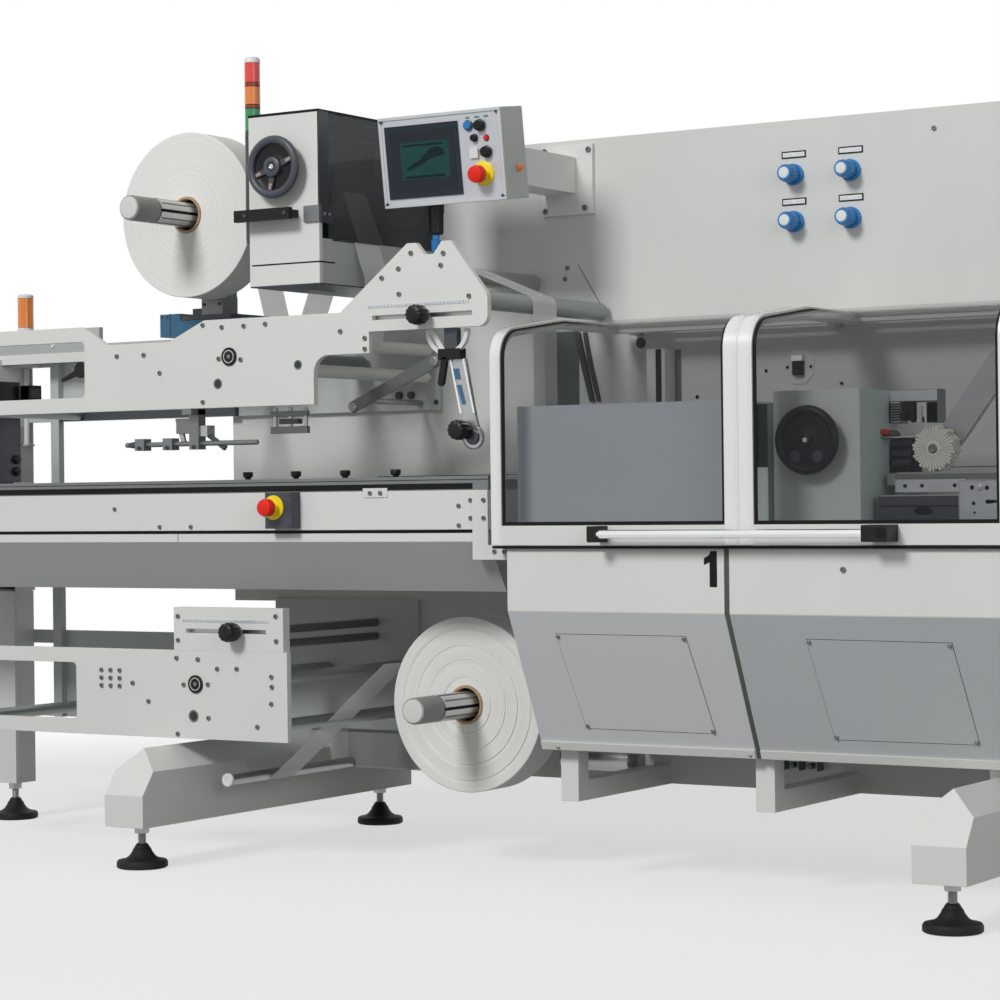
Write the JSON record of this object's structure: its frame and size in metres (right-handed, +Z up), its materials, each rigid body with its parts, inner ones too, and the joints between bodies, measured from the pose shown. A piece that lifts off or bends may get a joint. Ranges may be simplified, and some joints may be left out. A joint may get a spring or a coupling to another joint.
{
  "type": "horizontal form fill seal machine",
  "caption": "Floor-standing flow wrapper with a flat infeed conveyor, film reels on mandrels, a hinged glazed guard over its sealing jaws and a leaning operator panel",
  "frame": {"origin": "on the floor, at the centre of the footprint's bounding box", "axes": "+X along the machine with the product, +Y to its back, +Z up"},
  "size_m": [3.2, 1.09, 1.888],
  "materials": {
    "light_grey_paint": "powder coat",
    "grey_paint": "powder coat",
    "dark_paint": "satin",
    "steel": "ground",
    "aluminium": "machined",
    "black_rubber": "matte",
    "black_plastic": "satin",
    "dark_grey_plastic": "satin",
    "film": "glossy",
    "cardboard": "matte",
    "smoked_glass": "glossy",
    "chrome": "polished",
    "lamp": "glossy",
    "white_bristle": "matte",
    "blue_plastic": "glossy"
  },
  "bodies": {
    "frame": {"base_cabinet": "light_grey_paint", "backboard": "light_grey_paint", "foot_beam_left": "light_grey_paint", "foot_beam_right": "light_grey_paint", "conveyor_beam": "light_grey_paint", "infeed_stand": "light_grey_paint", "upper_front_plate": "light_grey_paint", "upper_rear_plate": "light_grey_paint", "lower_front_plate": "light_grey_paint", "lower_rear_plate": "light_grey_paint", "slotted_plate": "light_grey_paint", "register_front": "light_grey_paint", "front_casing_left": "light_grey_paint", "front_casing_right": "light_grey_paint", "hmi_box": "light_grey_paint", "hmi_arm": "light_grey_paint", "casing_props": "light_grey_paint", "conveyor_skirt": "grey_paint", "register_body": "grey_paint", "forming_cover": "grey_paint", "conveyor_arms": "grey_paint", "jaw_housing": "dark_paint", "estop_station": "dark_paint", "rear_post": "dark_paint", "conveyor_rails": "steel", "conveyor_bed": "steel", "upper_rollers": "steel", "lower_rollers": "steel", "guide_rollers": "steel", "guard_hinge": "steel", "outfeed_conveyor": "steel", "jaw_carriage": "steel", "upper_reel_stand": "steel", "lower_reel_hub": "steel", "web_roller": "steel", "sensor_bar": "steel", "levelling_feet": "black_rubber", "register_handle": "black_plastic", "hmi_controls": "black_plastic", "rail_knobs": "black_plastic", "film_webs": "film", "register_window": "smoked_glass", "stack_light": "lamp", "infeed_beacon": "lamp", "brush_wheel": "white_bristle", "air_regulators": "blue_plastic", "reel_motor": "blue_plastic"},
    "guard": {"guard_frame": "light_grey_paint", "guard_glass": "smoked_glass", "guard_handle": "chrome"},
    "upper_reel": {"upper_film_roll": "film", "upper_reel_core": "cardboard", "upper_mandrel": "aluminium"},
    "lower_reel": {"lower_film_roll": "film", "lower_reel_core": "cardboard", "lower_mandrel": "aluminium"},
    "register_wheel": {"register_handwheel": "dark_grey_plastic"},
    "jaw_wheel": {"jaw_handwheel": "dark_grey_plastic"},
    "upper_adjuster": {"upper_slot_knob": "black_plastic"},
    "lower_adjuster": {"lower_slot_knob": "black_plastic"}
  },
  "joints": [
    {"name": "guard_open", "type": "hinge", "parent": "frame", "child": "guard", "pos_m": [1, 0.162, 1.23], "axis": [-1, 0, 0], "range_deg": [0, 70]},
    {"name": "upper_reel_spin", "type": "hinge", "parent": "frame", "child": "upper_reel", "pos_m": [-0.613, -0.115, 1.54], "axis": [0, 1, 0], "continuous": true},
    {"name": "lower_reel_spin", "type": "hinge", "parent": "frame", "child": "lower_reel", "pos_m": [0.181, -0.115, 0.375], "axis": [0, 1, 0], "continuous": true},
    {"name": "register_wheel_turn", "type": "hinge", "parent": "frame", "child": "register_wheel", "pos_m": [-0.225, -0.33, 1.612], "axis": [0, 1, 0], "continuous": true},
    {"name": "jaw_wheel_turn", "type": "hinge", "parent": "frame", "child": "jaw_wheel", "pos_m": [1.1, -0.28, 0.956], "axis": [0, 1, 0], "continuous": true},
    {"name": "upper_adjuster_slide", "type": "slide", "parent": "frame", "child": "upper_adjuster", "axis": [1, 0, 0], "range_m": [-0.13, 0.116]},
    {"name": "lower_adjuster_slide", "type": "slide", "parent": "frame", "child": "lower_adjuster", "axis": [1, 0, 0], "range_m": [-0.14, 0.074]}
  ]
}
